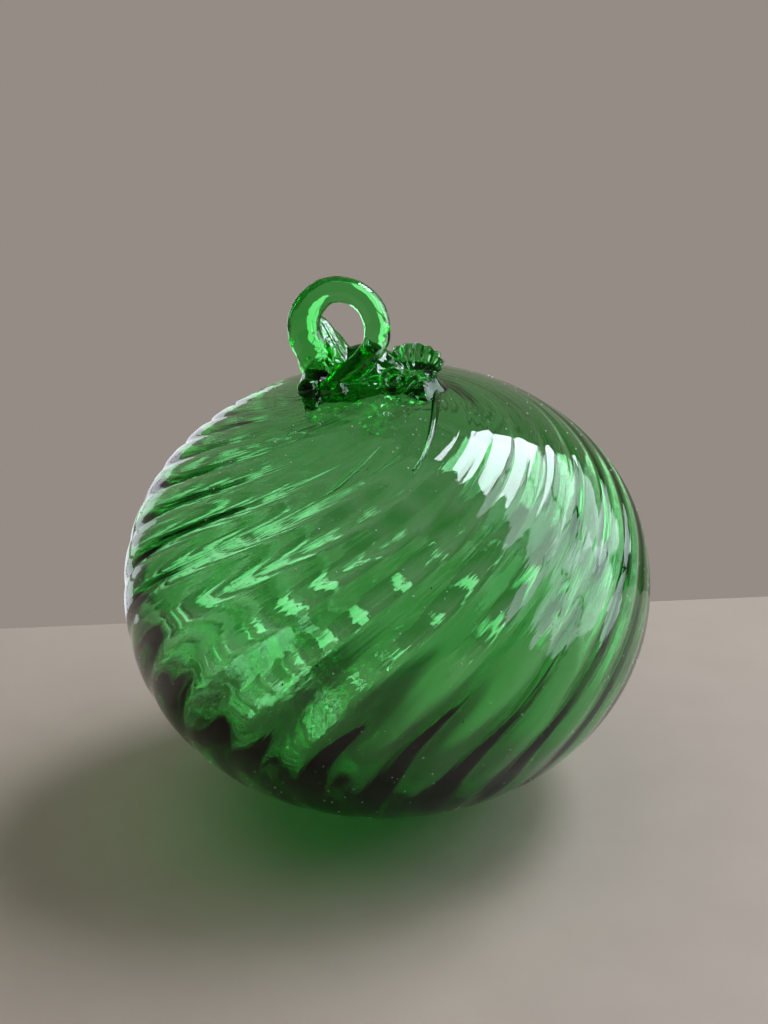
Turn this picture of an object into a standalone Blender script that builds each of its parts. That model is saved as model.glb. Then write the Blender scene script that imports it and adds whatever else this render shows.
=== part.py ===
"""Hand-blown green glass ball ornament: a squat globe with a right-handed swirl of soft ribs,
and a hanging loop drawn from one gather of hot glass laid over the pole.

Metres, +Z up along the ball's axis. The origin is the centre of the small flat that it rests on.
Seen from the front, along +Y, the hole of the loop faces the viewer and +X is to the right.
"""
from math import acos, atan2, cos, hypot, pi, radians, sin

import bmesh
import bpy
from mathutils import Matrix, Vector

MM = 0.001

# Ball: driving dimensions
BALL_RADIUS = 45.0 * MM
BALL_HALF_HEIGHT = 37.2 * MM
BALL_SQUARENESS = 2.1
FLAT_RADIUS = 6.0 * MM
BALL_RINGS = 23

# Swirl of ribs
RIB_COUNT = 22
SEGMENTS_PER_RIB = 6
RIB_DEPTH = 0.65 * MM
RIB_PHASE = radians(2.1)
SWIRL_RATE = 0.9
SWIRL_GAIN = 0.516
SWIRL_START = radians(-50.0)
RIB_FADE_TOP = (radians(42.0), radians(64.0))
RIB_FADE_BOTTOM = (radians(-44.0), radians(-68.0))

# Hanger: sizes in millimetres, from the ball's pole
SEAT_GAP = 0.3
SEAT_CUTTER_SIDES = 48
ROD_SIDES = 12
DOME_HEIGHT = 0.45
DOME_WIDTH = 0.55
FOOT_CENTRE = (-1.0, 0.2)
FOOT_RADIUS = 12.5
FOOT_SIDES = 36
MOUND_CENTRE = (-2.0, -1.6)
TAIL_SIDES = 32
FLUTE_COUNT = 9
FLUTE_DEPTH = 0.7


def clear_scene():
    for item in list(bpy.data.objects):
        bpy.data.objects.remove(item, do_unlink=True)


def smoothstep(start, end, value):
    share = min(max((value - start) / (end - start), 0.0), 1.0)
    return share * share * (3.0 - 2.0 * share)


def signed_power(value, exponent):
    return abs(value) ** exponent * (1.0 if value >= 0.0 else -1.0)


def ball_profile(latitude, growth=0.0):
    """Radius and height from the ball's centre, on a slightly squared ellipse."""
    exponent = 2.0 / BALL_SQUARENESS
    radius = (BALL_RADIUS + growth) * max(cos(latitude), 0.0) ** exponent
    height = (BALL_HALF_HEIGHT + growth) * signed_power(sin(latitude), exponent)
    return radius, height


def flat_latitude():
    """Latitude at which the ball has narrowed to the radius of its resting flat."""
    return -acos((FLAT_RADIUS / BALL_RADIUS) ** (BALL_SQUARENESS / 2.0))


def swirl_turn(latitude):
    """How far a rib has turned about the axis by a latitude: faster and faster towards the top."""
    bounded = max(latitude, SWIRL_START)
    return SWIRL_RATE * bounded + SWIRL_GAIN * bounded * bounded


def rib_relief(turn, latitude):
    """Height of the ribs over the plain form; they fade out on the shoulder and underneath."""
    fade = 1.0 - smoothstep(*RIB_FADE_TOP, latitude)
    fade *= 1.0 - smoothstep(-RIB_FADE_BOTTOM[0], -RIB_FADE_BOTTOM[1], -latitude)
    return 0.5 * RIB_DEPTH * fade * (cos(RIB_COUNT * turn) - 1.0)


BALL_CENTRE_HEIGHT = -ball_profile(flat_latitude())[1]
POLE_HEIGHT = BALL_CENTRE_HEIGHT + BALL_HALF_HEIGHT


def glass(name, colour, roughness):
    material = bpy.data.materials.new(name)
    material.use_nodes = True
    shader = material.node_tree.nodes["Principled BSDF"]
    shader.inputs["Base Color"].default_value = (*colour, 1.0)
    shader.inputs["Roughness"].default_value = roughness
    shader.inputs["Metallic"].default_value = 0.0
    shader.inputs["Transmission Weight"].default_value = 1.0
    material.diffuse_color = (*colour, 1.0)
    return material


def object_from(name, shape, material=None):
    """Turn a bmesh into a smooth-shaded object with its faces pointing outwards."""
    bmesh.ops.recalc_face_normals(shape, faces=shape.faces)
    mesh = bpy.data.meshes.new(name)
    shape.to_mesh(mesh)
    shape.free()
    mesh.shade_smooth()
    mesh.set_sharp_from_angle(angle=radians(40.0))
    if material:
        mesh.materials.append(material)
    item = bpy.data.objects.new(name, mesh)
    bpy.context.scene.collection.objects.link(item)
    return item


def turned_ball(segments, rings, growth, ribbed):
    """A sphere whose vertices are moved onto the ball's form; its seams follow the swirl."""
    shape = bmesh.new()
    bmesh.ops.create_uvsphere(shape, u_segments=segments, v_segments=rings, radius=1.0)
    lowest = -pi / 2.0 + pi / rings
    highest = pi / 2.0
    flat = flat_latitude()
    for vertex in shape.verts:
        across = hypot(vertex.co.x, vertex.co.y)
        latitude = atan2(vertex.co.z, across)
        if across < 1e-6 and latitude < 0.0:
            vertex.co = (0.0, 0.0, -BALL_CENTRE_HEIGHT)
            continue
        latitude = flat + (latitude - lowest) * (highest - flat) / (highest - lowest)
        radius, height = ball_profile(latitude, growth)
        if across < 1e-6:
            vertex.co = (0.0, 0.0, height)
            continue
        turn = atan2(vertex.co.x, -vertex.co.y)
        if ribbed:
            step = 2.0 * pi / segments
            turn = round(turn / step) * step
            radius += rib_relief(turn, latitude)
            turn += RIB_PHASE + swirl_turn(latitude)
        vertex.co = (radius * sin(turn), -radius * cos(turn), height)
    return shape


def make_ball():
    shape = turned_ball(RIB_COUNT * SEGMENTS_PER_RIB, BALL_RINGS, 0.0, True)
    ball = object_from("glass_ball", shape, glass("green blown glass", (0.03, 0.30, 0.05), 0.02))
    ball.location.z = BALL_CENTRE_HEIGHT
    return ball


def loft(name, loops, material=None):
    """A closed body through loops of points: neighbours are bridged and both ends are capped."""
    shape = bmesh.new()
    rings = []
    for points in loops:
        verts = [shape.verts.new(point) for point in points]
        edges = [shape.edges.new((verts[i - 1], verts[i])) for i in range(len(verts))]
        rings.append(edges)
    for lower, upper in zip(rings, rings[1:]):
        bmesh.ops.bridge_loops(shape, edges=lower + upper)
    bmesh.ops.edgeloop_fill(shape, edges=rings[0])
    bmesh.ops.edgeloop_fill(shape, edges=rings[-1])
    return object_from(name, shape, material)


def smooth_stations(stations, steps):
    """Points on a Catmull-Rom curve through the stations; each is x, y, z and a radius in mm."""
    stations = [Vector(station) * MM for station in stations]
    padded = [2 * stations[0] - stations[1]] + stations + [2 * stations[-1] - stations[-2]]
    result = []
    for before, start, end, after in zip(padded, padded[1:], padded[2:], padded[3:]):
        for step in range(steps):
            t = step / steps
            bend = 2 * before - 5 * start + 4 * end - after
            swing = 3 * start - before - 3 * end + after
            result.append(start + 0.5 * t * (end - before + t * (bend + t * swing)))
    result.append(stations[-1])
    return result


def swept_rod(name, stations, sides=ROD_SIDES, steps=3):
    """A round rod along the stations, as thick at each as its radius says, with domed ends."""
    path = smooth_stations(stations, steps)
    centres = [Vector(point[:3]) for point in path]
    radii = [point[3] for point in path]
    normal = None
    loops = []
    last = len(path) - 1
    for i, centre in enumerate(centres):
        ahead = (centres[min(i + 1, last)] - centres[max(i - 1, 0)]).normalized()
        if normal is None:
            normal = ahead.orthogonal().normalized()
        normal = (normal - normal.dot(ahead) * ahead).normalized()
        side = ahead.cross(normal)
        ring = []
        for k in range(sides):
            angle = 2.0 * pi * k / sides
            ring.append(centre + radii[i] * (cos(angle) * normal + sin(angle) * side))
        if i in (0, last):
            outward = ahead if i else -ahead
            tip = centre + DOME_HEIGHT * radii[i] * outward
            dome = [tip + DOME_WIDTH * (point - centre) for point in ring]
            loops += [ring, dome] if i else [dome, ring]
        else:
            loops.append(ring)
    return loft(name, loops)


def oval(centre, half_width, half_depth, height, sides, ripple=None):
    """An oval loop in millimetres: its height may be a function of the angle, and so may a ripple."""
    points = []
    for k in range(sides):
        angle = 2.0 * pi * k / sides
        grow = ripple(angle) if ripple else 0.0
        lift = height(angle) if callable(height) else height
        x = centre[0] + (half_width + grow) * cos(angle)
        y = centre[1] + (half_depth + grow) * sin(angle)
        points.append(Vector((x, y, lift)) * MM)
    return points


# The loop, as x, y, z and radius in millimetres from the pole: up from the left of the foot, over,
# down the right side, then forwards and left across the front of the foot.
LOOP_STATIONS = (
    (-10.3, -10.2, -1.9, 1.9),
    (-10.3, -8.8, -0.6, 2.4),
    (-9.6, -6.0, 1.8, 2.6),
    (-10.4, -3.6, 4.8, 2.8),
    (-11.7, -2.4, 8.4, 2.8),
    (-11.0, -2.4, 12.0, 2.6),
    (-8.5, -2.6, 14.6, 2.3),
    (-5.7, -3.0, 15.3, 2.15),
    (-2.9, -3.5, 14.5, 2.15),
    (-0.8, -4.0, 12.5, 2.2),
    (0.1, -4.6, 9.7, 2.2),
    (-0.2, -5.8, 7.1, 2.1),
    (-1.9, -7.0, 4.9, 2.0),
    (-4.2, -7.8, 3.1, 2.0),
    (-6.0, -8.4, 2.1, 1.7),
    (-7.1, -8.6, 1.8, 1.1),
)

# Where the left side of the loop spreads into the foot: a web drawn down across the hole's corner
WEB_STATIONS = (
    (-9.6, -2.3, 10.4, 1.6),
    (-7.6, -2.5, 8.2, 2.0),
    (-5.7, -2.7, 5.7, 2.3),
    (-5.5, -3.0, 3.0, 2.6),
    (-5.2, -3.0, -0.8, 3.2),
)

# The front edge of the tail rolls up into a small curl beside the loop's right side
CURL_STATIONS = (
    (7.4, -7.6, 1.7, 0.5),
    (5.4, -8.6, 1.5, 0.55),
    (4.3, -9.2, 0.6, 0.6),
    (2.9, -9.6, -0.2, 0.65),
    (1.4, -9.5, 0.1, 0.7),
    (0.6, -9.2, 1.4, 0.7),
    (1.2, -8.8, 2.7, 0.7),
    (2.6, -8.4, 3.1, 0.7),
    (3.6, -8.2, 2.6, 0.6),
)


def make_foot(material):
    """The foot: a low round pad of glass with a rolled edge, thicker under the loop."""
    def wander(angle):
        return 0.45 * cos(3.0 * angle + 0.6) + 0.25 * cos(5.0 * angle)

    loops = []
    for inset, height in ((1.0, -4.2), (0.0, -0.8), (0.2, 0.3), (1.2, 1.1), (2.8, 1.4)):
        radius = FOOT_RADIUS - inset
        loops.append(oval(FOOT_CENTRE, radius, radius, height, FOOT_SIDES, wander))
    for width, depth, height in ((6.4, 6.0, 2.0), (4.4, 3.8, 4.0), (2.6, 2.2, 5.4), (1.0, 0.8, 5.9)):
        loops.append(oval(MOUND_CENTRE, width, depth, height, FOOT_SIDES))
    foot = loft("hanging_loop", loops, material)
    foot.location.z = POLE_HEIGHT
    return foot


def make_tail():
    """The tail of the gather: a pinched cup, fluted inside, open to the upper left, low in front."""
    def rim_height(angle):
        return 3.2 + 1.8 * sin(angle) - 0.5 * cos(angle)

    def floor_height(angle):
        return 1.5 + 0.8 * sin(angle)

    def flutes(angle):
        return 0.5 * FLUTE_DEPTH * (cos(FLUTE_COUNT * angle) - 1.0)

    loops = [
        oval((5.2, -4.2), 5.4, 5.4, -3.4, TAIL_SIDES),
        oval((5.4, -4.4), 6.1, 6.0, -1.0, TAIL_SIDES),
        oval((5.7, -4.5), 5.2, 5.0, lambda a: 0.9 + 0.6 * sin(a), TAIL_SIDES),
        oval((6.0, -4.3), 4.4, 4.3, rim_height, TAIL_SIDES),
        oval((6.0, -4.3), 3.5, 3.5, rim_height, TAIL_SIDES, flutes),
        oval((5.9, -4.5), 2.6, 2.7, floor_height, TAIL_SIDES, flutes),
        oval((5.8, -4.6), 1.2, 1.2, 1.2, TAIL_SIDES),
    ]
    return loft("tail", loops)


def as_tool(item, host, operation):
    """Join an object to its host, or cut the host with it, and keep it as a hidden guide."""
    item.location = host.location
    item.hide_render = True
    item.display_type = "WIRE"
    modifier = host.modifiers.new(item.name, "BOOLEAN")
    modifier.operation = operation
    modifier.solver = "EXACT"
    modifier.object = item


def make_hanging_loop():
    foot = make_foot(glass("green hot-worked glass", (0.02, 0.26, 0.04), 0.03))
    as_tool(swept_rod("loop_rod", LOOP_STATIONS), foot, "UNION")
    as_tool(swept_rod("web", WEB_STATIONS, sides=10, steps=2), foot, "UNION")
    as_tool(make_tail(), foot, "UNION")
    as_tool(swept_rod("curl", CURL_STATIONS, sides=8, steps=2), foot, "UNION")
    seat_shape = turned_ball(SEAT_CUTTER_SIDES, SEAT_CUTTER_SIDES, SEAT_GAP * MM, False)
    seat_shape.transform(Matrix.Translation((0.0, 0.0, -BALL_HALF_HEIGHT)))
    as_tool(object_from("seat", seat_shape), foot, "DIFFERENCE")
    return foot


def main():
    clear_scene()
    origin = bpy.data.objects.new("ornament_origin", None)
    bpy.context.scene.collection.objects.link(origin)
    for piece in (make_ball(), make_hanging_loop()):
        piece.parent = origin


main()
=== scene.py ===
"""Looks of a hand-blown green glass ball ornament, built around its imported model.

The ball is one hollow shell of glass with a swirl of ribs outside and in, fine streaks drawn along
the ribs, and seeds, the tiny bubbles left in the melt. The hanging loop is one gather of hot glass:
foot, drawn loop, web, pinched tail and curl, melted into each other.
"""
from math import acos, atan2, cos, exp, hypot, pi, radians, sin
from random import Random

import bmesh
import bpy
from mathutils import Matrix, Vector, noise


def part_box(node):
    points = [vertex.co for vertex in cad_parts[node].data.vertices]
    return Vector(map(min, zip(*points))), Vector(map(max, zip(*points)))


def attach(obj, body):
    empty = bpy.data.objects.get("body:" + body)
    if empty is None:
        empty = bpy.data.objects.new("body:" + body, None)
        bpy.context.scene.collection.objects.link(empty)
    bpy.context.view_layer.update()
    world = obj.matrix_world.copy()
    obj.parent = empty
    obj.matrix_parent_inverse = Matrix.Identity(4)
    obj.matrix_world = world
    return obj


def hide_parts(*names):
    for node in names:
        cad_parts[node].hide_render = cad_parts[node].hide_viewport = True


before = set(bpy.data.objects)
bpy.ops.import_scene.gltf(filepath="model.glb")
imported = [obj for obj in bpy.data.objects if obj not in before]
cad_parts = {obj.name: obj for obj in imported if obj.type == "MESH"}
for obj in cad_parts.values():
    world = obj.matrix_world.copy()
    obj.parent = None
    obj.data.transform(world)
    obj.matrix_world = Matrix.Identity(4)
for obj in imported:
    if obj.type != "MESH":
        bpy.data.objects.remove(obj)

bl_info = {
    "name": "Blown glass ornament",
    "version": (1, 0, 0),
    "blender": (4, 5, 0),
    "location": "3D View > Sidebar > Glass ornament",
    "description": "Builds a swirled glass ball with its hanging loop, and a small studio for it",
    "category": "Object",
}

MM = 0.001
# Moves a second pattern away from the first, so that they don't repeat each other
OFFSET = Vector((7.3, 1.9, 4.6))
# The colour output of a Mix node that mixes colours
MIXED_COLOUR = 2

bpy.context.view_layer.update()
BALL_LOW, BALL_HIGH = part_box("glass_ball")
POLE = Vector((0.0, 0.0, BALL_HIGH.z))

# The ball's form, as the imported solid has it
HALF_HEIGHT = 37.2 * MM
SQUARENESS = 2.1
FLAT_RADIUS = 6.0 * MM
RIB_PHASE = radians(2.1)
SWIRL_RATE = 0.9
SWIRL_GAIN = 0.516
SWIRL_START = radians(-50.0)
RIB_FADE_TOP = (radians(42.0), radians(66.0))
RIB_FADE_BOTTOM = (radians(44.0), radians(68.0))
# The inner ribs end this much earlier at the top and at the bottom, and deepen between two latitudes
INNER_FADE_TOP = radians(10.0)
INNER_FADE_BOTTOM = radians(9.0)
INNER_DEEPENING = (radians(-22.0), radians(15.0))
INNER_SHALLOW_SHARE = 0.65
INNER_OVERTONE = 0.22
WALL_THICKENING = (radians(-15.0), radians(70.0))
WALL_AT_POLE = (radians(50.0), radians(90.0))

# How fine the mesh of the wall is, the smallest and largest seed and speck, and where the draws start
SEGMENTS_PER_RIB = 20
SHELL_RINGS = 108
SEED_RADII = (0.04 * MM, 0.16 * MM)
SPECK_RADII = (0.10 * MM, 0.22 * MM)
RANDOM_SEED = 7

# The hanging loop's melt: how fine it is, how it is softened and how deep its foot is cut by the ball
VOXEL = 0.155 * MM
SOFTENING = 4
SEAT_DEPTH = 0.15 * MM
SEAT_DETAIL = 96

# Stations of the drawn loop, web and curl: x, y, z and radius in millimetres from the ball's pole
LOOP_STATIONS = (
    (-10.8, -10.6, -1.9, 1.2),
    (-10.6, -9.0, -0.7, 2.1),
    (-9.8, -6.2, 1.8, 2.4),
    (-10.4, -3.6, 4.8, 2.8),
    (-11.7, -2.4, 8.4, 2.8),
    (-11.0, -2.4, 12.0, 2.6),
    (-8.5, -2.6, 14.6, 2.3),
    (-5.7, -3.0, 15.25, 2.15),
    (-2.9, -3.5, 14.5, 2.15),
    (-0.8, -4.0, 12.5, 2.2),
    (0.1, -4.6, 9.7, 2.2),
    (-0.2, -5.8, 7.1, 2.1),
    (-1.9, -7.0, 4.9, 2.0),
    (-4.2, -7.8, 3.1, 2.0),
    (-6.0, -8.4, 2.1, 1.7),
    (-7.1, -8.6, 1.8, 1.1),
)
WEB_STATIONS = (
    (-9.8, 0.6, 9.6, 1.1),
    (-8.2, 0.3, 7.4, 1.4),
    (-6.4, -0.4, 5.0, 1.9),
    (-5.6, -1.6, 2.6, 2.4),
    (-5.2, -2.6, -0.8, 3.2),
)
# The flattened face of the web: its middle, the way it runs down and the way it faces
WEB_MIDDLE = (-7.6, -2.7, 6.5)
WEB_DOWN = (0.27, -0.72, -0.64)
WEB_FACING = (0.455, -0.490, 0.743)
# Threads of glass that trailed from the hot gather over the ball: x, y and radius in millimetres
THREADS = (
    (
        (9.2, -5.8, 0.8),
        (8.9, -11.2, 0.7),
        (8.3, -16.6, 0.6),
        (7.5, -21.0, 0.5),
        (6.3, -24.6, 0.4),
        (4.6, -27.4, 0.1),
    ),
    (
        (-9.5, -30.2, 0.1),
        (-7.4, -29.3, 0.4),
        (-4.9, -27.6, 0.5),
        (-2.5, -25.5, 0.35),
        (-0.2, -23.0, 0.1),
    ),
)
# Round lobes of the melt: x, y, z and radius in millimetres from the ball's pole
BEADS = (
    (-2.7, -4.5, 13.0, 0.95),
    (-11.3, -9.7, 0.9, 1.8),
    (-8.3, -8.9, 0.4, 1.7),
    (-6.4, -9.6, 0.3, 1.6),
    (2.3, -8.5, 1.4, 1.3),
)
CURL_STATIONS = (
    (7.4, -7.9, 1.7, 0.65),
    (5.4, -8.9, 1.5, 0.7),
    (4.3, -9.5, 0.6, 0.75),
    (2.9, -9.8, -0.1, 0.75),
    (1.4, -9.7, 0.2, 0.8),
    (0.6, -9.4, 1.4, 0.8),
    (1.2, -9.0, 2.7, 0.8),
    (2.6, -8.6, 3.1, 0.75),
    (3.6, -8.4, 2.6, 0.65),
)

# The studio: the table, the softboxes and the light that fills the room. A softbox's place is measured
# from the ball's middle along the camera's own directions; the table and the cards stand in the world's
TABLE_WIDTH = 1.5
TABLE_DEPTH = 0.9706
TABLE_THICKNESS = 0.02
TABLE_MIDDLE = -0.15
TABLE_BACK = 0.0706
TALL_PLACE = (0.6, 0.0, 1.12)
TALL_SIZE = (0.72, 0.80)
LOWER_PLACE = (0.6, -0.19, 0.40)
LOWER_STEP = 0.38
LOWER_SIZE = (0.35, 0.56)
BACK_PLACE = (-0.86, 1.25, -0.12)
BACK_STEP = (0.44, 0.52)
BACK_SIZE = (0.40, 0.48)
CARD_PLACE = (0.15, -0.083, 0.046)
CARD_STEP = 0.068
CARD_SIZE = (0.064, 0.086)
SKY_SPREAD = radians(60.0)
SKY_TOWARD = (0.3, -0.1, -1.0)
# The world turns from room to lit wall between these values of its direction's Y
LIT_WALL = (0.45, 0.85)
# In the 768 by 1024 frame: pixels from the frame's middle down to the ball's, and the focal length
PIXELS_DOWN = 71.1
FOCAL_PIXELS = 1700.0


# Plain helpers

def linear(hex_colour):
    """A hex colour as sRGB shows it, turned to linear red, green and blue."""
    parts = [int(hex_colour[i:i + 2], 16) / 255.0 for i in (1, 3, 5)]
    return tuple(p / 12.92 if p <= 0.04045 else ((p + 0.055) / 1.055) ** 2.4 for p in parts)


def smoothstep(start, end, value):
    """Rise smoothly from zero at the start to one at the end."""
    share = min(max((value - start) / (end - start), 0.0), 1.0)
    return share * share * (3.0 - 2.0 * share)


def signed_power(value, exponent):
    """A power of the value's size that keeps its sign."""
    return abs(value) ** exponent * (1.0 if value >= 0.0 else -1.0)


def link(item):
    """Put an object into the scene."""
    bpy.context.scene.collection.objects.link(item)
    return item


def add_node(tree, kind, inputs=(), **settings):
    """Add a node with its settings; an input is given a value, or a socket to link from."""
    node = tree.nodes.new(kind)
    for name, value in settings.items():
        setattr(node, name, value)
    for name, value in dict(inputs).items():
        if isinstance(value, bpy.types.NodeSocket):
            tree.links.new(value, node.inputs[name])
        else:
            node.inputs[name].default_value = value
    return node


def new_material(name):
    """A material with an empty node tree."""
    material = bpy.data.materials.new(name)
    material.use_nodes = True
    material.node_tree.nodes.clear()
    return material


# Materials

def soda_lime_glass(name, look, absorbed, density, streaks):
    """Soda-lime glass coloured green in the melt, free-blown and fire-polished: mirror-smooth, clear,
    darker the more of it one looks through, with faint cords drawn out along the swirl."""
    material = new_material(name)
    tree = material.node_tree
    place = add_node(tree, "ShaderNodeAttribute", attribute_name="drawn").outputs["Vector"]
    # Cords lie about a millimetre apart and run many times as far as they are wide
    cords = add_node(tree, "ShaderNodeTexNoise", {
        "Vector": place, "Scale": 1.0 / (1.3 * MM), "Detail": 2.0, "Roughness": 0.5, "Distortion": 0.3})
    # Slow waves a centimetre long, where the glass sagged and was blown out again
    waves = add_node(tree, "ShaderNodeTexNoise", {
        "Vector": place, "Scale": 1.0 / (6.0 * MM), "Detail": 1.0})
    # The cords are faint near the top and in the loop, where the gather was hardly drawn out
    height = add_node(tree, "ShaderNodeSeparateXYZ", {"Vector": place}).outputs["Z"]
    drawn_out = add_node(tree, "ShaderNodeMapRange", {
        "Value": height, "From Min": 3.0 * MM, "From Max": 1.4 * MM, "To Min": 0.15, "To Max": 1.0})
    waved = add_node(tree, "ShaderNodeBump", {
        "Height": waves.outputs["Fac"], "Strength": 1.0, "Distance": 0.10 * MM * streaks})
    corded = add_node(tree, "ShaderNodeBump", {
        "Height": cords.outputs["Fac"], "Normal": waved.outputs["Normal"],
        "Strength": drawn_out.outputs["Result"], "Distance": 0.045 * MM * streaks})
    # Handling leaves it not quite evenly bright: the gloss varies a little from patch to patch
    coordinates = add_node(tree, "ShaderNodeTexCoord")
    smudges = add_node(tree, "ShaderNodeTexNoise", {
        "Vector": coordinates.outputs["Object"], "Scale": 1.0 / (9.0 * MM), "Detail": 4.0})
    gloss = add_node(tree, "ShaderNodeMapRange", {
        "Value": smudges.outputs["Fac"], "From Min": 0.45, "From Max": 0.75, "To Min": 0.0, "To Max": 0.035})
    shader = add_node(tree, "ShaderNodeBsdfPrincipled", {
        "Base Color": (*look.tint, 1.0), "Metallic": 0.0, "IOR": 1.52,
        "Transmission Weight": 1.0, "Roughness": gloss.outputs["Result"],
        "Normal": corded.outputs["Normal"]})
    depth = add_node(tree, "ShaderNodeVolumeAbsorption", {
        "Color": (*absorbed, 1.0), "Density": density})
    add_node(tree, "ShaderNodeOutputMaterial", {
        "Surface": shader.outputs["BSDF"], "Volume": depth.outputs["Volume"]})
    return material


def furnace_speck():
    """Specks of unmelted batch and kiln dust sealed in the glass: dull, nearly black grains."""
    material = new_material("furnace specks")
    tree = material.node_tree
    coordinates = add_node(tree, "ShaderNodeTexCoord")
    grain = add_node(tree, "ShaderNodeTexNoise", {
        "Vector": coordinates.outputs["Object"], "Scale": 1.0 / (0.2 * MM)})
    shade = add_node(tree, "ShaderNodeMix", {
        "Factor": grain.outputs["Fac"], "A": (*linear("#0c120c"), 1.0), "B": (*linear("#2b2f26"), 1.0)},
        data_type="RGBA")
    return finish_plain(tree, material, shade.outputs[MIXED_COLOUR], 0.8)


def pale_dust():
    """House dust and lint: matt, almost white grains, drawn coarser than real dust, so that they show."""
    material = new_material("settled dust")
    tree = material.node_tree
    coordinates = add_node(tree, "ShaderNodeTexCoord")
    kinds = add_node(tree, "ShaderNodeTexNoise", {
        "Vector": coordinates.outputs["Object"], "Scale": 1.0 / (3.0 * MM)})
    shade = add_node(tree, "ShaderNodeMix", {
        "Factor": kinds.outputs["Fac"], "A": (*linear("#f2f6f0"), 1.0), "B": (*linear("#b9cdb8"), 1.0)},
        data_type="RGBA")
    return finish_plain(tree, material, shade.outputs[MIXED_COLOUR], 0.9)


def matt_paper(light, dark):
    """Seamless paper of a photographer's table: matt, very slightly mottled."""
    material = new_material("pale paper")
    tree = material.node_tree
    coordinates = add_node(tree, "ShaderNodeTexCoord")
    mottle = add_node(tree, "ShaderNodeTexNoise", {
        "Vector": coordinates.outputs["Object"], "Scale": 1.0 / (14.0 * MM), "Detail": 6.0})
    shade = add_node(tree, "ShaderNodeMix", {
        "Factor": mottle.outputs["Fac"], "A": (*light, 1.0), "B": (*dark, 1.0)},
        data_type="RGBA")
    return finish_plain(tree, material, shade.outputs[MIXED_COLOUR], 0.6)


def finish_plain(tree, material, colour, roughness):
    """Give an opaque, matt material its shader."""
    shader = add_node(tree, "ShaderNodeBsdfPrincipled", {"Base Color": colour, "Roughness": roughness})
    add_node(tree, "ShaderNodeOutputMaterial", {"Surface": shader.outputs["BSDF"]})
    return material


# Shapes of the ball

class BallForm:
    """The ball's form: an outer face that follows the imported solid, and the inner face of its wall."""

    def __init__(self, look):
        self.centre_height = POLE.z - HALF_HEIGHT
        self.radius = 0.5 * (BALL_HIGH.x - BALL_LOW.x)
        self.look = look
        self.flat = -acos((FLAT_RADIUS / self.radius) ** (SQUARENESS / 2.0))
        self.turns = look.rib_count

    def swirl(self, latitude):
        """How far a rib has turned around the ball at a latitude."""
        bounded = max(latitude, SWIRL_START)
        return SWIRL_RATE * bounded + SWIRL_GAIN * bounded * bounded

    def fade(self, latitude, inside):
        """How much of a rib is left: they die out towards both poles, inside they deepen downwards."""
        top = INNER_FADE_TOP if inside else 0.0
        bottom = INNER_FADE_BOTTOM if inside else 0.0
        fade = 1.0 - smoothstep(RIB_FADE_TOP[0] - top, RIB_FADE_TOP[1] - top, latitude)
        fade *= 1.0 - smoothstep(RIB_FADE_BOTTOM[0] - bottom, RIB_FADE_BOTTOM[1] - bottom, -latitude)
        if inside:
            fade *= 1.0 - INNER_SHALLOW_SHARE * smoothstep(*INNER_DEEPENING, latitude)
        return fade

    def wall(self, latitude):
        """Thickness of the wall: thicker under the ball, where the glass settled, and by the pole."""
        look = self.look
        low = smoothstep(*WALL_THICKENING, -latitude)
        high = smoothstep(*WALL_AT_POLE, latitude)
        return look.wall + (look.bottom_wall - look.wall) * low + 0.5 * look.wall * high

    def point(self, turn, latitude, inside):
        """A point on the outer or inner face, from the turn measured along the swirl."""
        look = self.look
        inset = self.wall(latitude) if inside else 0.0
        exponent = 2.0 / SQUARENESS
        fade = self.fade(latitude, inside)
        place = Vector((cos(turn), sin(turn), 1.6 * latitude))
        drift = noise.noise(2.2 * place)
        phase = self.turns * (turn + look.rib_wander * noise.noise(2.7 * place + OFFSET))
        uneven = 1.0 + 0.6 * noise.noise(1.9 * place - OFFSET)
        if inside:
            ribs = cos(phase) + INNER_OVERTONE * cos(2.0 * phase + 2.0 * drift)
            inset += 0.5 * look.inner_rib_depth * fade * uneven * ribs - look.inner_wobble * drift
        else:
            groove = (0.5 - 0.5 * cos(phase)) ** look.groove
            inset += look.rib_depth * fade * groove * min(uneven, 1.1) / 1.1
            inset += look.outer_wobble * (0.5 - 0.5 * drift) * fade
        radius = (self.radius - inset) * max(cos(latitude), 0.0) ** exponent
        height = (HALF_HEIGHT - inset) * signed_power(sin(latitude), exponent)
        angle = turn + RIB_PHASE + self.swirl(latitude)
        bottom = 0.0 if not inside else inset
        height = max(self.centre_height + height, bottom)
        return Vector((radius * sin(angle), -radius * cos(angle), height))


def shape_shell(form, around, rings, inside):
    """A sphere whose vertices are moved onto one face of the wall, its meridians along the swirl."""
    shape = bmesh.new()
    bmesh.ops.create_uvsphere(shape, u_segments=around, v_segments=rings, radius=1.0)
    drawn = shape.verts.layers.float_vector.new("drawn")
    lowest = -pi / 2.0 + pi / rings
    step = 2.0 * pi / around
    for vertex in shape.verts:
        across = hypot(vertex.co.x, vertex.co.y)
        latitude = atan2(vertex.co.z, across)
        turn = round(atan2(vertex.co.x, -vertex.co.y) / step) * step if across > 1e-6 else 0.0
        if across > 1e-6:
            latitude = form.flat + (latitude - lowest) * (pi / 2.0 - form.flat) / (pi / 2.0 - lowest)
        vertex.co = form.point(turn, latitude, inside)
        vertex[drawn] = (form.radius * cos(turn), form.radius * sin(turn), 0.06 * form.radius * latitude)
    if inside:
        bmesh.ops.reverse_faces(shape, faces=shape.faces)
    return shape


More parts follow.
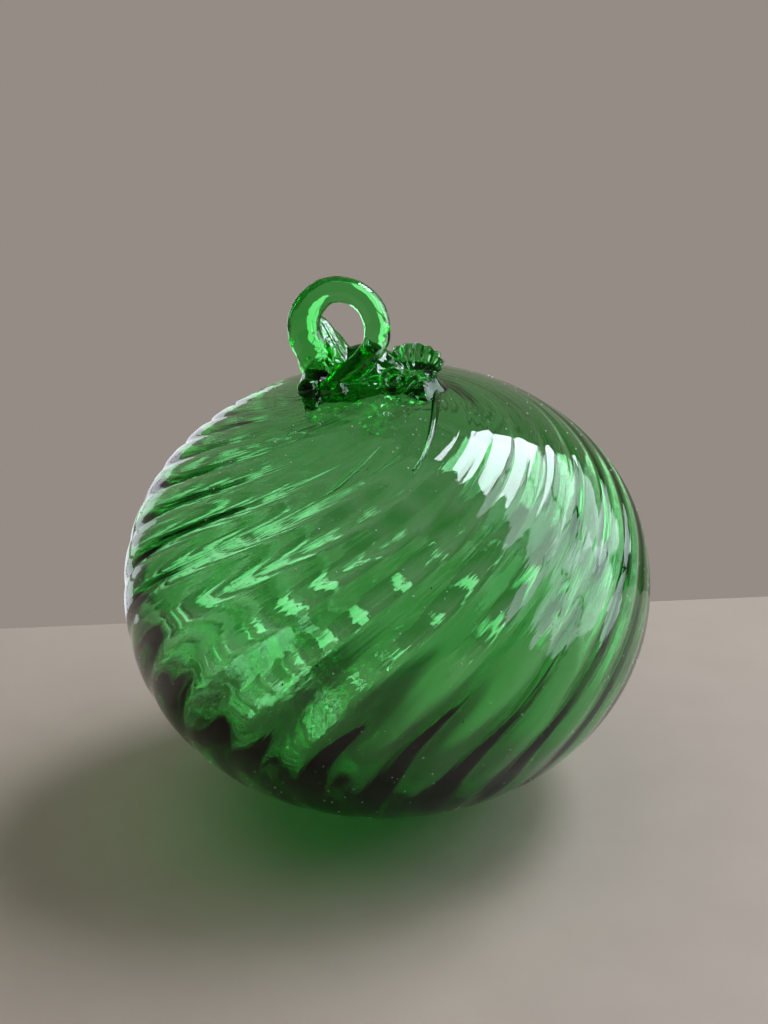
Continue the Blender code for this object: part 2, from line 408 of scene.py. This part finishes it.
def seeds(form, count, rng, sizes, hollow):
    """Small round cavities or grains inside the wall, two dozen faces each."""
    shape = bmesh.new()
    drawn = shape.verts.layers.float_vector.new("drawn")
    for _ in range(count):
        latitude = form.flat * 0.9 + (pi / 2.2 - form.flat * 0.9) * rng.random()
        turn = 2.0 * pi * rng.random()
        share = 0.3 + 0.4 * rng.random()
        centre = form.point(turn, latitude, False).lerp(form.point(turn, latitude, True), share)
        size = sizes[0] + (sizes[1] - sizes[0]) * rng.random() ** 3
        stretch = Matrix.Diagonal((1.0, 1.0, 1.0 + rng.random(), 1.0))
        place = Matrix.Translation(centre) @ stretch
        bmesh.ops.create_uvsphere(shape, u_segments=6, v_segments=4, radius=size, matrix=place)
    for vertex in shape.verts:
        vertex[drawn] = vertex.co
    if hollow:
        bmesh.ops.reverse_faces(shape, faces=shape.faces)
    return shape


def dust(form, count, rng):
    """Fine pale grains that have settled on the glass, sunk level with its face."""
    shape = bmesh.new()
    for _ in range(count):
        latitude = -0.9 + 2.2 * rng.random()
        turn = 2.0 * pi * rng.random()
        size = (0.08 + 0.12 * rng.random() ** 2) * MM
        foot = form.point(turn, latitude, False)
        outward = Vector((foot.x, foot.y, 1.2 * (foot.z - form.centre_height))).normalized()
        bmesh.ops.create_icosphere(
            shape, subdivisions=1, radius=size, matrix=Matrix.Translation(foot - 0.3 * size * outward))
    return shape


def trailed_thread(form, stations):
    """A thread of glass sunk a little into the ball's outer face."""
    laid = []
    for x, y, radius in stations:
        share = hypot(x, y) * MM / form.radius
        drop = HALF_HEIGHT * ((1.0 - share ** SQUARENESS) ** (1.0 / SQUARENESS) - 1.0) / MM
        laid.append((x, y, drop - 0.3 * radius - 0.1, radius))
    return drawn_rod("thread", laid)


def mesh_object(name, shape, material):
    """Turn a bmesh into a smooth object of one material."""
    mesh = bpy.data.meshes.new(name)
    shape.to_mesh(mesh)
    shape.free()
    mesh.shade_smooth()
    mesh.materials.append(material)
    return link(bpy.data.objects.new(name, mesh))


def merged(target, source):
    """Add one bmesh to another through a mesh, which keeps the attribute of both."""
    carrier = bpy.data.meshes.new("carrier")
    source.to_mesh(carrier)
    source.free()
    target.from_mesh(carrier)
    bpy.data.meshes.remove(carrier)


# Shapes of the hanging loop

def drawn_rod(name, stations, steps=10, resolution=9):
    """A rod of drawn glass along its stations: a curve with a round bevel and a sphere at each end."""
    curve = bpy.data.curves.new(name, "CURVE")
    curve.dimensions = "3D"
    curve.bevel_depth = 1.0 * MM
    curve.bevel_resolution = resolution
    curve.use_fill_caps = True
    path = smooth_stations(stations, steps)
    spline = curve.splines.new("POLY")
    spline.points.add(len(path) - 1)
    for point, station in zip(spline.points, path):
        point.co = (*(POLE + Vector(station[:3]) * MM), 1.0)
        point.radius = station[3]
    item = link(bpy.data.objects.new(name, curve))
    mesh = bpy.data.meshes.new_from_object(item.evaluated_get(bpy.context.evaluated_depsgraph_get()))
    bpy.data.objects.remove(item)
    shape = bmesh.new()
    shape.from_mesh(mesh)
    bpy.data.meshes.remove(mesh)
    bmesh.ops.remove_doubles(shape, verts=shape.verts, dist=0.001 * MM)
    for station in (path[0], path[-1]):
        bmesh.ops.create_uvsphere(
            shape, u_segments=24, v_segments=16, radius=station[3] * MM,
            matrix=Matrix.Translation(POLE + Vector(station[:3]) * MM))
    return shape


def smooth_stations(stations, steps):
    """Points on a Catmull-Rom curve through the stations."""
    stations = [Vector(station) for station in stations]
    padded = [2 * stations[0] - stations[1]] + stations + [2 * stations[-1] - stations[-2]]
    result = []
    for before, start, end, after in zip(padded, padded[1:], padded[2:], padded[3:]):
        for step in range(steps):
            t = step / steps
            bend = 2 * before - 5 * start + 4 * end - after
            swing = 3 * start - before - 3 * end + after
            result.append(start + 0.5 * t * (end - before + t * (bend + t * swing)))
    result.append(stations[-1])
    return result


def bump(angle, middle, width):
    """A smooth rise to one around an angle, both in degrees, for an angle in radians."""
    return exp(-((angle - radians(middle)) / radians(width)) ** 2)


def oval_loop(shape, centre, half_width, half_depth, height, sides, ripple=None):
    """A loop of edges in millimetres from the pole; height and ripple may follow the angle."""
    made = bmesh.ops.create_circle(shape, segments=sides, radius=1.0)
    for vertex in made["verts"]:
        angle = atan2(vertex.co.y, vertex.co.x)
        grow = ripple(angle) if ripple else 0.0
        lift = height(angle) if callable(height) else height
        x = centre[0] + (half_width + grow) * cos(angle)
        y = centre[1] + (half_depth + grow) * sin(angle)
        vertex.co = POLE + Vector((x, y, lift)) * MM
    return list({edge for vertex in made["verts"] for edge in vertex.link_edges})


def lofted(loops_of):
    """A closed body: neighbouring loops are bridged and both ends filled."""
    shape = bmesh.new()
    loops = loops_of(shape)
    for lower, upper in zip(loops, loops[1:]):
        bmesh.ops.bridge_loops(shape, edges=lower + upper)
    bmesh.ops.edgeloop_fill(shape, edges=loops[0])
    bmesh.ops.edgeloop_fill(shape, edges=loops[-1])
    bmesh.ops.recalc_face_normals(shape, faces=shape.faces)
    return shape


def foot_loops(shape):
    """The pad that was laid on the pole: a rolled, wandering edge and a mound under the loop."""

    def wander(angle):
        notch = 2.9 * bump(angle, -80.0, 26.0) + 2.0 * bump(angle, -5.0, 30.0)
        return 0.45 * cos(3.0 * angle + 0.6) + 0.25 * cos(5.0 * angle) - notch

    loops = []
    for inset, height in ((1.0, -4.2), (0.0, -0.8), (0.05, -0.2), (0.3, 0.4), (1.2, 1.1), (2.8, 1.4)):
        loops.append(oval_loop(shape, (-1.0, 0.2), 12.5 - inset, 12.5 - inset, height, 72, wander))
    for width, depth, height in ((6.4, 6.0, 2.0), (4.4, 3.8, 4.0), (2.6, 2.2, 5.4), (1.0, 0.8, 5.9)):
        loops.append(oval_loop(shape, (-2.0, -1.6), width, depth, height, 72))
    return loops


def tail_loops(shape):
    """The tail of the gather, pinched off with ridged tweezers: a cup with a fluted wall."""

    def rim(angle):
        return 3.5 + 1.6 * sin(angle) - 0.4 * cos(angle)

    def floor(angle):
        return 1.9 + 0.8 * sin(angle)

    def outer_flutes(angle):
        return 0.28 * cos(13.0 * angle)

    def flutes(angle):
        return 0.42 * cos(13.0 * angle)

    def skirt(angle):
        swell = 0.9 * bump(angle, -72.0, 13.0)
        return swell - 0.25 * bump(angle, -40.0, 16.0) - 1.1 * bump(angle, -112.0, 20.0)

    def rows(centre, width, depth, height, ripple=None):
        return oval_loop(shape, centre, width, depth, height, 104, ripple)

    return [
        rows((5.2, -4.2), 5.2, 5.2, -3.4, skirt),
        rows((5.2, -4.5), 6.5, 6.5, -2.4, skirt),
        rows((5.2, -4.5), 6.5, 6.5, -1.9, skirt),
        rows((5.2, -4.5), 5.9, 5.9, -1.2, skirt),
        rows((5.2, -4.5), 5.0, 5.0, -0.3, skirt),
        rows((5.4, -4.4), 4.2, 4.2, 0.6, skirt),
        rows((5.6, -4.4), 4.1, 4.0, lambda a: 1.5 + 0.6 * sin(a)),
        rows((6.0, -4.3), 4.3, 4.2, lambda a: 0.5 * (1.6 + rim(a)), outer_flutes),
        rows((6.1, -4.3), 4.5, 4.4, rim, outer_flutes),
        rows((6.1, -4.3), 4.1, 4.0, lambda a: rim(a) + 0.2, flutes),
        rows((6.0, -4.3), 3.5, 3.5, lambda a: rim(a) - 0.4, flutes),
        rows((5.9, -4.5), 2.6, 2.7, floor, flutes),
        rows((5.8, -4.6), 1.2, 1.2, 1.6),
    ]


def pinched_sheet():
    """The web between loop and foot, flattened by tweezers that left ridges running down it."""
    shape = bmesh.new()
    bmesh.ops.create_uvsphere(shape, u_segments=96, v_segments=64, radius=1.0)
    down = Vector(WEB_DOWN).normalized()
    facing = Vector(WEB_FACING).normalized()
    across = facing.cross(down)
    for vertex in shape.verts:
        along, side, thick = vertex.co.z, vertex.co.x, vertex.co.y
        ridge = 0.08 * sin(2.0 * pi * (2.5 * side + 0.8 * along) / 1.2) * (1.0 - along * along)
        width = 2.5 - 0.7 * along
        vertex.co = POLE + MM * (
            Vector(WEB_MIDDLE) - 5.6 * along * down + width * side * across
            + (0.75 * thick + (ridge if thick > 0.0 else 0.0)) * facing)
    bmesh.ops.reverse_faces(shape, faces=shape.faces)
    return shape


def sag(loop):
    """Hot glass pulls itself into low lumps, lowest in the ring and on the right side of the tail."""
    normals = [vertex.normal.copy() for vertex in loop.data.vertices]
    for vertex, normal in zip(loop.data.vertices, normals):
        place = (vertex.co - POLE) / MM
        calm = 1.0 - 0.75 * max(smoothstep(7.0, 10.0, place.z), smoothstep(4.0, 7.0, place.x))
        lump = noise.noise(0.42 * place) * 0.22 + noise.noise(1.1 * place + OFFSET) * 0.07
        vertex.co -= normal * MM * calm * (0.1 + lump)


def apply_modifiers(item):
    """Replace the object's mesh by what its modifiers make of it."""
    mesh = bpy.data.meshes.new_from_object(item.evaluated_get(bpy.context.evaluated_depsgraph_get()))
    old = item.data
    item.modifiers.clear()
    item.data = mesh
    bpy.data.meshes.remove(old)


# Settings and operators

class BallLook(bpy.types.PropertyGroup):
    """Sizes of the blown ball and colours of the glass."""

    tint: bpy.props.FloatVectorProperty(
        name="Tint", description="Colour of the glass at its surface", default=linear("#e6fde9"),
        subtype="COLOR")
    ball_colour: bpy.props.FloatVectorProperty(
        name="Ball colour", description="What the ball's glass lets through", default=linear("#23e268"),
        subtype="COLOR")
    ball_density: bpy.props.FloatProperty(
        name="Ball density", description="How fast the ball's glass darkens with depth", default=430.0,
        min=0.0)
    loop_colour: bpy.props.FloatVectorProperty(
        name="Loop colour", description="What the loop's glass lets through", default=linear("#3ff170"),
        subtype="COLOR")
    loop_density: bpy.props.FloatProperty(
        name="Loop density", description="How fast the loop's glass darkens with depth", default=400.0,
        min=0.0)
    rib_count: bpy.props.IntProperty(
        name="Ribs", description="Ribs of the swirl", default=22, min=3)
    rib_depth: bpy.props.FloatProperty(
        name="Rib depth", description="Height of a rib outside", default=0.30 * MM, unit="LENGTH")
    groove: bpy.props.FloatProperty(
        name="Groove", description="How narrow the grooves between the ribs are", default=3.0, min=1.0)
    rib_wander: bpy.props.FloatProperty(
        name="Rib wander", description="How far a rib strays to the side", default=radians(1.4),
        subtype="ANGLE")
    inner_rib_depth: bpy.props.FloatProperty(
        name="Inner rib depth", description="Height of a rib inside", default=1.0 * MM, unit="LENGTH")
    wall: bpy.props.FloatProperty(
        name="Wall", description="Thickness of the wall", default=1.3 * MM, unit="LENGTH")
    bottom_wall: bpy.props.FloatProperty(
        name="Bottom wall", description="Thickness under the ball", default=3.4 * MM, unit="LENGTH")
    outer_wobble: bpy.props.FloatProperty(
        name="Outer wobble", description="Slow unevenness outside", default=0.12 * MM, unit="LENGTH")
    inner_wobble: bpy.props.FloatProperty(
        name="Inner wobble", description="Slow unevenness inside", default=0.25 * MM, unit="LENGTH")
    seed_count: bpy.props.IntProperty(
        name="Seeds", description="Tiny bubbles in the wall", default=150, min=0)
    dust_count: bpy.props.IntProperty(
        name="Dust", description="Grains of dust on the ball", default=700, min=0)
    speck_count: bpy.props.IntProperty(
        name="Specks", description="Dark grains in the wall", default=16, min=0)


class StudioLook(bpy.types.PropertyGroup):
    """The studio around the ornament: camera, lights and plain colours."""

    elevation: bpy.props.FloatProperty(
        name="Elevation", description="Angle of the camera above the level", default=radians(23.0),
        subtype="ANGLE")
    roll: bpy.props.FloatProperty(
        name="Roll", description="Lean of the ball in the picture", default=radians(2.4), subtype="ANGLE")
    distance: bpy.props.FloatProperty(
        name="Distance", description="Camera to the ball's middle", default=293.0 * MM, unit="LENGTH")
    lens: bpy.props.FloatProperty(
        name="Lens", description="Focal length for a 36 mm long side", default=59.8, min=1.0)
    tall: bpy.props.FloatProperty(
        name="Tall softbox", description="Brightness of the tall softbox", default=13.5, min=0.0)
    lower: bpy.props.FloatProperty(
        name="Lower softboxes", description="Brightness of the two below it", default=3.5, min=0.0)
    back: bpy.props.FloatProperty(
        name="Back softboxes", description="Brightness of the four behind the ball", default=1.0, min=0.0)
    card: bpy.props.FloatProperty(
        name="Cards", description="Brightness of the two low cards", default=3.2, min=0.0)
    fill: bpy.props.FloatProperty(
        name="Fill", description="Strength of the broad soft light", default=0.6, min=0.0)
    light_colour: bpy.props.FloatVectorProperty(
        name="Light colour", description="Colour of the softboxes", default=linear("#eaf1ff"),
        subtype="COLOR")
    wall: bpy.props.FloatVectorProperty(
        name="Wall", description="Colour of the lit backdrop", default=linear("#948c85"), subtype="COLOR")
    room: bpy.props.FloatVectorProperty(
        name="Room", description="Colour of the dimmer room", default=linear("#413f3d"), subtype="COLOR")
    paper: bpy.props.FloatVectorProperty(
        name="Paper", description="Colour of the table's paper", default=linear("#b0a293"), subtype="COLOR")
    paper_mottle: bpy.props.FloatVectorProperty(
        name="Paper mottle", description="Colour of its darker patches", default=linear("#a69889"),
        subtype="COLOR")


class ORNAMENT_OT_blow_ball(bpy.types.Operator):
    """Blow the hollow ball with its swirl of ribs and its seeds"""

    bl_idname = "ornament.blow_ball"
    bl_label = "Blow the ball"

    def execute(self, context):
        look = context.scene.ball_look
        form = BallForm(look)
        rng = Random(RANDOM_SEED)
        around = SEGMENTS_PER_RIB * look.rib_count
        shape = shape_shell(form, around, SHELL_RINGS, False)
        merged(shape, shape_shell(form, around, SHELL_RINGS, True))
        merged(shape, seeds(form, look.seed_count, rng, SEED_RADII, True))
        glass = soda_lime_glass("green blown glass", look, look.ball_colour, look.ball_density, 1.0)
        ball = mesh_object("blown_ball", shape, glass)
        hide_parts("glass_ball")
        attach(ball, "root")
        grains = seeds(form, look.speck_count, rng, SPECK_RADII, False)
        specks = mesh_object("furnace_specks", grains, furnace_speck())
        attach(specks, "root")
        settled = mesh_object("settled_dust", dust(form, look.dust_count, rng), pale_dust())
        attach(settled, "root")
        return {"FINISHED"}


class ORNAMENT_OT_draw_loop(bpy.types.Operator):
    """Lay the gather on the pole and draw the hanging loop from it"""

    bl_idname = "ornament.draw_loop"
    bl_label = "Draw the hanging loop"

    def execute(self, context):
        look = context.scene.ball_look
        shape = lofted(foot_loops)
        merged(shape, lofted(tail_loops))
        merged(shape, pinched_sheet())
        for name, stations in (("rod", LOOP_STATIONS), ("web", WEB_STATIONS), ("curl", CURL_STATIONS)):
            merged(shape, drawn_rod(name, stations))
        for bead in BEADS:
            bmesh.ops.create_uvsphere(
                shape, u_segments=24, v_segments=16, radius=bead[3] * MM,
                matrix=Matrix.Translation(POLE + Vector(bead[:3]) * MM))
        glass = soda_lime_glass("green hot-worked glass", look, look.loop_colour, look.loop_density, 0.4)
        loop = mesh_object("drawn_loop", shape, glass)
        melt = loop.modifiers.new("melt", "REMESH")
        melt.mode = "VOXEL"
        melt.voxel_size = VOXEL
        melt.use_smooth_shade = True
        soften = loop.modifiers.new("soften", "SMOOTH")
        soften.factor = 0.5
        soften.iterations = SOFTENING
        apply_modifiers(loop)
        sag(loop)
        form = BallForm(look)
        seat_shape = shape_shell(form, SEAT_DETAIL, SEAT_DETAIL, False)
        seat_shape.transform(Matrix.Translation((0.0, 0.0, -SEAT_DEPTH)))
        seat = mesh_object("seat", seat_shape, glass)
        cut = loop.modifiers.new("seat", "BOOLEAN")
        cut.operation = "DIFFERENCE"
        cut.solver = "MANIFOLD"
        cut.object = seat
        apply_modifiers(loop)
        bpy.data.objects.remove(seat)
        for number, stations in enumerate(THREADS):
            thread = mesh_object(f"thread_{number}", trailed_thread(form, stations), glass)
            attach(thread, "root")
        drawn = loop.data.attributes.get("drawn")
        if drawn is None:
            drawn = loop.data.attributes.new("drawn", "FLOAT_VECTOR", "POINT")
        for vertex, value in zip(loop.data.vertices, drawn.data):
            value.vector = vertex.co
        loop.data.shade_smooth()
        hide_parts("hanging_loop")
        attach(loop, "root")
        return {"FINISHED"}


class ORNAMENT_OT_set_studio(bpy.types.Operator):
    """Set the floor, the lights and the camera"""

    bl_idname = "ornament.set_studio"
    bl_label = "Set the studio"

    def softbox(self, name, place, facing, size, brightness):
        """A flat light that shines evenly, hidden from the camera itself."""
        light = bpy.data.lights.new(name, "AREA")
        light.shape = "RECTANGLE"
        light.size, light.size_y = size
        light.energy = brightness * pi * size[0] * size[1]
        light.color = bpy.context.scene.studio_look.light_colour
        item = link(bpy.data.objects.new(name, light))
        item.matrix_world = Matrix.Translation(place) @ facing.to_4x4()
        item.visible_camera = False
        return item

    def execute(self, context):
        look = context.scene.studio_look
        middle = Vector((0.0, 0.0, POLE.z - HALF_HEIGHT))
        ahead = Vector((0.0, cos(look.elevation), -sin(look.elevation)))
        right = Vector((1.0, 0.0, 0.0))
        up = right.cross(ahead)
        view = Matrix((right, up, -ahead)).transposed()

        def seen(across, away, above):
            """A point from the ball's middle, in metres, as the camera's own directions have it."""
            return middle + across * right + away * ahead + above * up

        # A pale table that ends just behind the ball, as far back as the horizon lies in the picture
        floor_shape = bmesh.new()
        bmesh.ops.create_cube(floor_shape, size=1.0)
        bmesh.ops.scale(
            floor_shape, vec=(TABLE_WIDTH, TABLE_DEPTH, TABLE_THICKNESS), verts=floor_shape.verts)
        centre = (TABLE_MIDDLE, TABLE_BACK - 0.5 * TABLE_DEPTH, -0.5 * TABLE_THICKNESS)
        bmesh.ops.translate(floor_shape, vec=centre, verts=floor_shape.verts)
        floor = mesh_object("floor", floor_shape, matt_paper(look.paper, look.paper_mottle))
        floor.data.shade_flat()

        camera = bpy.data.cameras.new("camera")
        camera.sensor_width = 36.0
        camera.lens = look.lens
        item = link(bpy.data.objects.new("camera", camera))
        tilt = Matrix.Rotation(PIXELS_DOWN / FOCAL_PIXELS, 3, "X")
        roll = Matrix.Rotation(-look.roll, 3, "Z")
        eye = middle - look.distance * ahead
        item.matrix_world = Matrix.Translation(eye) @ (view @ tilt @ roll).to_4x4()
        context.scene.camera = item

        # A tall softbox to the right, high up, and two dimmer ones below it
        facing = Matrix((ahead, up, right)).transposed()
        self.softbox("tall softbox", seen(*TALL_PLACE), facing, TALL_SIZE, look.tall)
        for column in (0, 1):
            place = (LOWER_PLACE[0], LOWER_PLACE[1] + LOWER_STEP * column, LOWER_PLACE[2])
            self.softbox("lower softbox", seen(*place), facing, LOWER_SIZE, look.lower)

        # Four dim ones behind on the left, which line the ball's left edge
        facing = view @ Matrix.Rotation(pi, 3, "Y")
        for row in (0, 1):
            for column in (0, 1):
                across = BACK_PLACE[0] + BACK_STEP[0] * column
                above = BACK_PLACE[2] + BACK_STEP[1] * row
                place = seen(across, BACK_PLACE[1], above)
                self.softbox("back softbox", place, facing, BACK_SIZE, look.back)

        # Two low cards to the right, outside the view, show in the glass and leave the table alone
        upright = Matrix(((0.0, 1.0, 0.0), (0.0, 0.0, 1.0), (1.0, 0.0, 0.0))).transposed()
        for column in (0, 1):
            place = Vector(CARD_PLACE) + Vector((0.0, CARD_STEP * column, 0.0))
            self.softbox("card", place, upright, CARD_SIZE, look.card).visible_diffuse = False

        # One broad soft light fills the room
        light = bpy.data.lights.new("sky", "SUN")
        light.angle = SKY_SPREAD
        light.energy = look.fill
        sky = link(bpy.data.objects.new("sky", light))
        sky.visible_glossy = False
        toward = Vector(SKY_TOWARD).normalized()
        sky.matrix_world = toward.to_track_quat("-Z", "Y").to_matrix().to_4x4()

        world = bpy.data.worlds.new("studio")
        world.use_nodes = True
        tree = world.node_tree
        # The wall behind the ball is lit, and the room around it is dimmer
        direction = add_node(tree, "ShaderNodeTexCoord").outputs["Generated"]
        depth = add_node(tree, "ShaderNodeSeparateXYZ", {"Vector": direction}).outputs["Y"]
        share = add_node(tree, "ShaderNodeMapRange", {
            "Value": depth, "From Min": LIT_WALL[0], "From Max": LIT_WALL[1]},
            interpolation_type="SMOOTHSTEP")
        wall = add_node(tree, "ShaderNodeMix", {
            "Factor": share.outputs["Result"], "A": (*look.room, 1.0), "B": (*look.wall, 1.0)},
            data_type="RGBA", clamp_result=False)
        tree.links.new(wall.outputs[MIXED_COLOUR], tree.nodes["Background"].inputs["Color"])
        context.scene.world = world
        context.scene.view_settings.view_transform = "Standard"
        context.scene.cycles.max_bounces = 24
        context.scene.cycles.transmission_bounces = 24
        context.scene.cycles.glossy_bounces = 12
        context.scene.cycles.use_denoising = True
        return {"FINISHED"}


class ORNAMENT_PT_panel(bpy.types.Panel):
    """Sizes, colours and steps of the ornament"""

    bl_label = "Glass ornament"
    bl_idname = "ORNAMENT_PT_panel"
    bl_space_type = "VIEW_3D"
    bl_region_type = "UI"
    bl_category = "Glass ornament"

    def draw(self, context):
        for group in (context.scene.ball_look, context.scene.studio_look):
            for name in group.bl_rna.properties.keys():
                if name not in ("rna_type", "name"):
                    self.layout.prop(group, name)
        for operator in OPERATORS:
            self.layout.operator(operator.bl_idname)


OPERATORS = (ORNAMENT_OT_blow_ball, ORNAMENT_OT_draw_loop, ORNAMENT_OT_set_studio)
CLASSES = (BallLook, StudioLook, *OPERATORS, ORNAMENT_PT_panel)


def register():
    for item in CLASSES:
        bpy.utils.register_class(item)
    bpy.types.Scene.ball_look = bpy.props.PointerProperty(type=BallLook)
    bpy.types.Scene.studio_look = bpy.props.PointerProperty(type=StudioLook)


def unregister():
    del bpy.types.Scene.studio_look
    del bpy.types.Scene.ball_look
    for item in reversed(CLASSES):
        bpy.utils.unregister_class(item)


def main():
    """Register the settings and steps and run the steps."""
    register()
    bpy.ops.ornament.blow_ball()
    bpy.ops.ornament.draw_loop()
    bpy.ops.ornament.set_studio()


if __name__ == "__main__":
    main()
